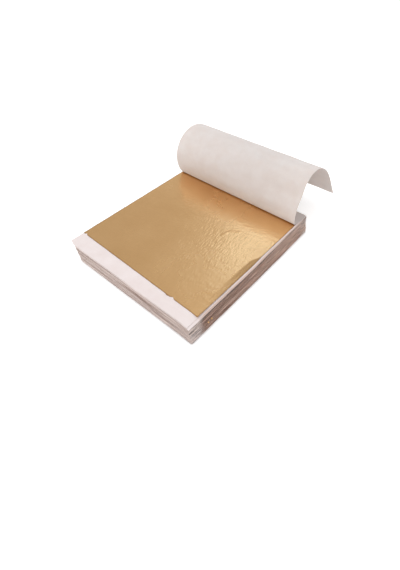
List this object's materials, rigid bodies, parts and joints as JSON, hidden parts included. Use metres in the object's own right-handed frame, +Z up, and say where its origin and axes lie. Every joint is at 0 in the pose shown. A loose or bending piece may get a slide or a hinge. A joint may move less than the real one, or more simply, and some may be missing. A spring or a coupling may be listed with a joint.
{
  "type": "gold leaf booklet",
  "caption": "Pad of interleaving tissues glued along one edge with a loose metal leaf between each two; the top tissue is rolled back and the first leaf lies open.",
  "frame": {"origin": "centre of the page area on the surface that the booklet lies on", "axes": "+Z up through the pages, +Y from the front margin towards the bound edge, +X along the bound edge"},
  "size_m": [0.0865, 0.1271, 0.04],
  "materials": {
    "tissue": "thin uncoated tissue",
    "turned_tissue": "thin uncoated tissue, slightly see-through",
    "leaf": "champagne-tinted metal leaf, seen at its edges",
    "open_leaf": "champagne-tinted metal leaf with fine creases",
    "backing": "plain stiff paper",
    "glue": "thin clear-drying padding glue"
  },
  "bodies": {
    "lower_sheaf": {"backing": "backing", "spine_glue_1": "glue", "tissues_1": "tissue", "leaves_1": "leaf", "tissues_2": "tissue", "leaves_2": "leaf", "tissues_3": "tissue", "leaves_3": "leaf", "tissues_4": "tissue", "leaves_4": "leaf"},
    "middle_sheaf": {"spine_glue_2": "glue", "tissues_5": "tissue", "leaves_5": "leaf", "tissues_6": "tissue", "leaves_6": "leaf", "tissues_7": "tissue", "leaves_7": "leaf"},
    "upper_sheaf": {"spine_glue_3": "glue", "tissues_8": "tissue", "leaves_8": "leaf", "tissues_9": "tissue", "leaves_9": "leaf", "tissues_10": "tissue", "leaves_10": "leaf", "bound_strip": "turned_tissue"},
    "top_leaf": {"top_leaf": "open_leaf"},
    "turned_strip_1": {"turned_strip_1": "turned_tissue"},
    "turned_strip_2": {"turned_strip_2": "turned_tissue"},
    "turned_strip_3": {"turned_strip_3": "turned_tissue"},
    "turned_strip_4": {"turned_strip_4": "turned_tissue"},
    "turned_strip_5": {"turned_strip_5": "turned_tissue"},
    "turned_strip_6": {"turned_strip_6": "turned_tissue"},
    "turned_strip_7": {"turned_strip_7": "turned_tissue"},
    "turned_strip_8": {"turned_strip_8": "turned_tissue"},
    "turned_strip_9": {"turned_strip_9": "turned_tissue"},
    "turned_strip_10": {"turned_strip_10": "turned_tissue"},
    "turned_strip_11": {"turned_strip_11": "turned_tissue"},
    "turned_strip_12": {"turned_strip_12": "turned_tissue"},
    "turned_strip_13": {"turned_strip_13": "turned_tissue"},
    "turned_strip_14": {"turned_strip_14": "turned_tissue"}
  },
  "joints": [
    {"name": "middle_turn", "type": "hinge", "parent": "lower_sheaf", "child": "middle_sheaf", "pos_m": [0, 0.04693, 0.00516], "axis": [-1, 0, 0], "range_deg": [0, 12]},
    {"name": "upper_turn", "type": "hinge", "parent": "middle_sheaf", "child": "upper_sheaf", "pos_m": [0, 0.04667, 0.00878], "axis": [-1, 0, 0], "range_deg": [0, 12]},
    {"name": "leaf_draw", "type": "slide", "parent": "upper_sheaf", "child": "top_leaf", "axis": [0, -1, 0], "range_m": [0, 0.045]},
    {"name": "page_fold", "type": "hinge", "parent": "upper_sheaf", "child": "turned_strip_1", "pos_m": [-0.001, 0.0351, 0.01284], "axis": [1, 0, 0], "range_deg": [-3.5, 66.13]},
    {"name": "page_roll_2", "type": "hinge", "parent": "turned_strip_1", "child": "turned_strip_2", "pos_m": [-0.001, 0.03271, 0.01825], "axis": [1, 0, 0], "range_deg": [-0.85, 15.95]},
    {"name": "page_roll_3", "type": "hinge", "parent": "turned_strip_2", "child": "turned_strip_3", "pos_m": [-0.001, 0.03189, 0.0241], "axis": [1, 0, 0], "range_deg": [-1.01, 18.85]},
    {"name": "page_roll_4", "type": "hinge", "parent": "turned_strip_3", "child": "turned_strip_4", "pos_m": [-0.001, 0.03301, 0.02989], "axis": [1, 0, 0], "range_deg": [-1.11, 20.81]},
    {"name": "page_roll_5", "type": "hinge", "parent": "turned_strip_4", "child": "turned_strip_5", "pos_m": [-0.001, 0.03611, 0.0349], "axis": [1, 0, 0], "range_deg": [-1.16, 21.72]},
    {"name": "page_roll_6", "type": "hinge", "parent": "turned_strip_5", "child": "turned_strip_6", "pos_m": [-0.001, 0.04084, 0.03841], "axis": [1, 0, 0], "range_deg": [-1.15, 21.55]},
    {"name": "page_roll_7", "type": "hinge", "parent": "turned_strip_6", "child": "turned_strip_7", "pos_m": [-0.001, 0.04654, 0.03994], "axis": [1, 0, 0], "range_deg": [-1.08, 20.29]},
    {"name": "page_roll_8", "type": "hinge", "parent": "turned_strip_7", "child": "turned_strip_8", "pos_m": [-0.001, 0.05241, 0.0394], "axis": [1, 0, 0], "range_deg": [-0.96, 18.02]},
    {"name": "page_roll_9", "type": "hinge", "parent": "turned_strip_8", "child": "turned_strip_9", "pos_m": [-0.001, 0.05784, 0.03707], "axis": [1, 0, 0], "range_deg": [-0.8, 14.85]},
    {"name": "page_roll_10", "type": "hinge", "parent": "turned_strip_9", "child": "turned_strip_10", "pos_m": [-0.001, 0.06249, 0.03342], "axis": [1, 0, 0], "range_deg": [-0.59, 10.93]},
    {"name": "page_roll_11", "type": "hinge", "parent": "turned_strip_10", "child": "turned_strip_11", "pos_m": [-0.001, 0.06638, 0.02895], "axis": [1, 0, 0], "range_deg": [-0.35, 6.46]},
    {"name": "page_roll_12", "type": "hinge", "parent": "turned_strip_11", "child": "turned_strip_12", "pos_m": [-0.001, 0.06974, 0.02406], "axis": [1, 0, 0], "range_deg": [-0.14, 2.56]},
    {"name": "page_roll_13", "type": "hinge", "parent": "turned_strip_12", "child": "turned_strip_13", "pos_m": [-0.001, 0.07288, 0.01903], "axis": [1, 0, 0], "range_deg": [-0.06, 1.01]},
    {"name": "page_roll_14", "type": "hinge", "parent": "turned_strip_13", "child": "turned_strip_14", "pos_m": [-0.001, 0.07593, 0.01395], "axis": [1, 0, 0], "range_deg": [-0.06, 1.01]}
  ],
  "couplings": [
    {"joint": "page_roll_2", "follows": "page_fold", "ratio": 0.24105},
    {"joint": "page_roll_3", "follows": "page_fold", "ratio": 0.28492},
    {"joint": "page_roll_4", "follows": "page_fold", "ratio": 0.31451},
    {"joint": "page_roll_5", "follows": "page_fold", "ratio": 0.32833},
    {"joint": "page_roll_6", "follows": "page_fold", "ratio": 0.32568},
    {"joint": "page_roll_7", "follows": "page_fold", "ratio": 0.3067},
    {"joint": "page_roll_8", "follows": "page_fold", "ratio": 0.27234},
    {"joint": "page_roll_9", "follows": "page_fold", "ratio": 0.22433},
    {"joint": "page_roll_10", "follows": "page_fold", "ratio": 0.16507},
    {"joint": "page_roll_11", "follows": "page_fold", "ratio": 0.097529},
    {"joint": "page_roll_12", "follows": "page_fold", "ratio": 0.038606},
    {"joint": "page_roll_13", "follows": "page_fold", "ratio": 0.015121},
    {"joint": "page_roll_14", "follows": "page_fold", "ratio": 0.015121}
  ]
}
